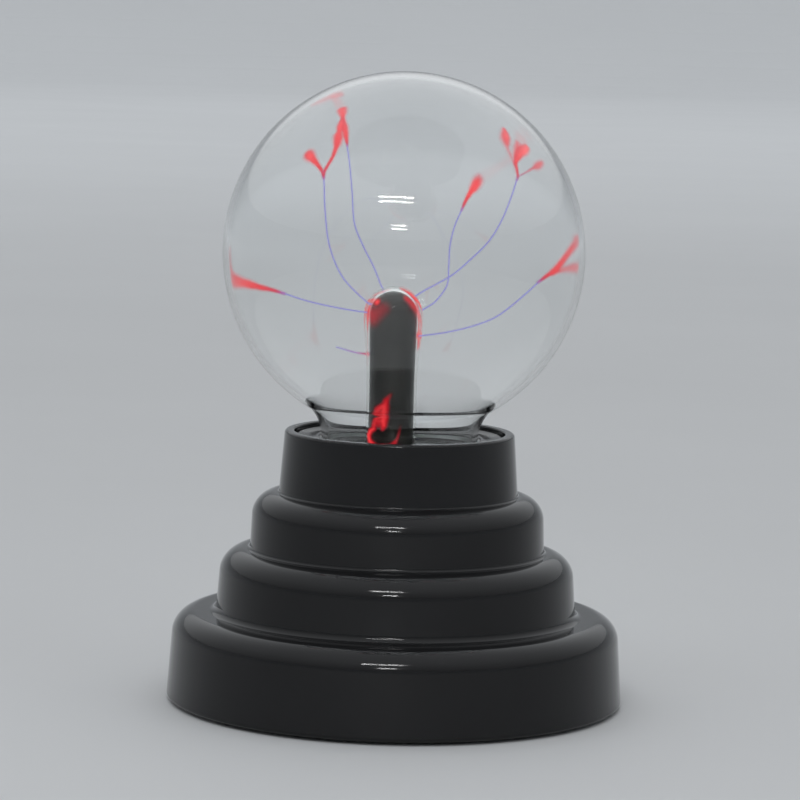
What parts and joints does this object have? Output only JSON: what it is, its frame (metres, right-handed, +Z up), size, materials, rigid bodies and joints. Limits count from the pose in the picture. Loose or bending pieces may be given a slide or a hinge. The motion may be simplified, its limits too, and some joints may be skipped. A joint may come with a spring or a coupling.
{
  "type": "plasma ball",
  "caption": "Small desk plasma ball: sealed glass globe with a central electrode on a stepped round black base with battery tray, power socket and slide switch.",
  "frame": {"origin": "on the table under the centre of the base, at the bottoms of the feet", "axes": "+Z up along the base's axis, -Y the front, +Y the side of the power socket and switch"},
  "size_m": [0.1, 0.1, 0.1383],
  "materials": {
    "globe_glass": "gloss",
    "electrode_glass": "gloss",
    "graphite_coating": "matte",
    "steel_wool": "satin",
    "base_black": "gloss",
    "ring_black": "satin",
    "silicone_grey": "satin",
    "gasket_black": "matte",
    "cover_black": "satin",
    "foot_rubber": "matte",
    "screw_steel": "satin",
    "cell_jacket": "gloss",
    "contact_steel": "satin",
    "board_laminate": "satin",
    "ferrite": "matte",
    "bobbin_nylon": "satin",
    "enamelled_copper": "gloss",
    "winding_tape": "gloss",
    "package_black": "matte",
    "sink_aluminium": "satin",
    "capacitor_sleeve": "gloss",
    "film_red": "gloss",
    "resistor_tan": "satin",
    "jack_black": "satin",
    "nickel": "polished",
    "tinned_brass": "satin",
    "switch_phenolic": "matte",
    "button_black": "satin",
    "lead_white": "satin",
    "lead_red": "satin",
    "lead_black": "satin",
    "plasma_violet": "gloss",
    "plasma_red": "gloss"
  },
  "bodies": {
    "lamp_body": {"glass_globe": "globe_glass", "electrode_tube": "electrode_glass", "electrode_coating": "graphite_coating", "steel_wool_plug": "steel_wool", "exhaust_tip": "globe_glass", "base_shell": "base_black", "top_ring": "ring_black", "neck_sealant": "silicone_grey", "neck_gasket": "gasket_black", "base_cover": "cover_black", "cover_screws": "screw_steel", "rubber_feet": "foot_rubber", "cell_1": "cell_jacket", "cell_2": "cell_jacket", "cell_3": "cell_jacket", "cell_4": "cell_jacket", "contact_negative": "contact_steel", "contact_bridge_1": "contact_steel", "contact_bridge_2": "contact_steel", "contact_bridge_3": "contact_steel", "contact_positive": "contact_steel", "circuit_board": "board_laminate", "board_screws": "screw_steel", "transformer_core": "ferrite", "transformer_bobbin": "bobbin_nylon", "primary_winding": "enamelled_copper", "secondary_winding": "winding_tape", "transistor": "package_black", "heat_sink": "sink_aluminium", "heat_sink_screw": "screw_steel", "electrolytic_capacitor": "capacitor_sleeve", "film_capacitor": "film_red", "resistors": "resistor_tan", "diode": "package_black", "dc_jack_housing": "jack_black", "dc_jack_nut": "nickel", "dc_jack_pin": "nickel", "dc_jack_contact": "tinned_brass", "switch_frame": "contact_steel", "switch_base": "switch_phenolic", "switch_terminals": "tinned_brass", "switch_screws": "screw_steel", "hv_lead": "lead_white", "lead_positive": "lead_red", "lead_negative": "lead_black", "lead_switch": "lead_red", "lead_jack": "lead_black"},
    "battery_door": {"battery_door": "cover_black"},
    "switch_button": {"switch_slider": "button_black", "switch_wiper": "tinned_brass"}
  },
  "joints": [
    {"name": "door_hinge", "type": "hinge", "parent": "lamp_body", "child": "battery_door", "pos_m": [-0.0246, 0, 0.00215], "axis": [0, 1, 0], "range_deg": [0, 80]},
    {"name": "switch_slide", "type": "slide", "parent": "lamp_body", "child": "switch_button", "axis": [1, 0, 0], "range_m": [-0.0025, 0]}
  ]
}
